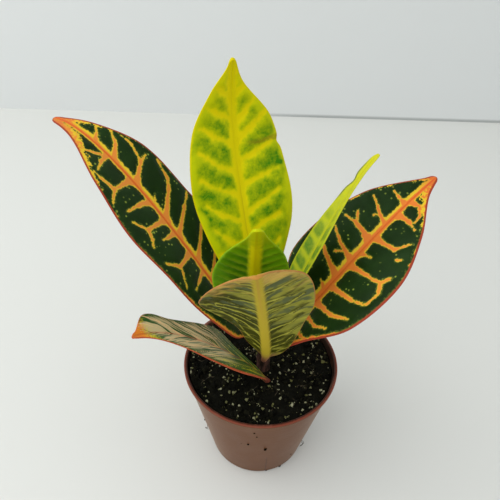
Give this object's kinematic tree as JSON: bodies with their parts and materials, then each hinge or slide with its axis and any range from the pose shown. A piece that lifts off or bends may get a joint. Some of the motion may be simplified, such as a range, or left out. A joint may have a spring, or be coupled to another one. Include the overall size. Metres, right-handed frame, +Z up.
{
  "type": "potted croton",
  "caption": "Young variegated croton with broad veined leaves on a short stem, standing in peat soil in a small tapered plastic nursery pot.",
  "frame": {"origin": "middle of the flat underside of the pot, on the surface that the pot stands on", "axes": "+Z up along the pot's axis, +X to the right and +Y to the back when the plant is seen from its front"},
  "size_m": [0.1264, 0.0824, 0.1593],
  "materials": {
    "pot_plastic": "satin terracotta-brown thin plastic",
    "peat_soil": "damp dark peat with pale perlite grains",
    "stem_bark": "young brown-grey bark with petiole scars",
    "leaf_yellow": "satin young leaf, yellow with green patches",
    "leaf_green": "satin young leaf, bright green with a yellow midrib",
    "leaf_olive": "matt olive underside with yellow veins",
    "leaf_mature": "glossy dark green with orange and yellow veins and a red margin"
  },
  "bodies": {
    "root": {"pot": "pot_plastic", "soil": "peat_soil", "stem": "stem_bark", "leaf_tall": "leaf_yellow", "leaf_left": "leaf_mature", "leaf_right": "leaf_mature", "leaf_narrow": "leaf_yellow", "leaf_small": "leaf_green", "leaf_front": "leaf_olive", "leaf_low": "leaf_mature"}
  },
  "joints": []
}
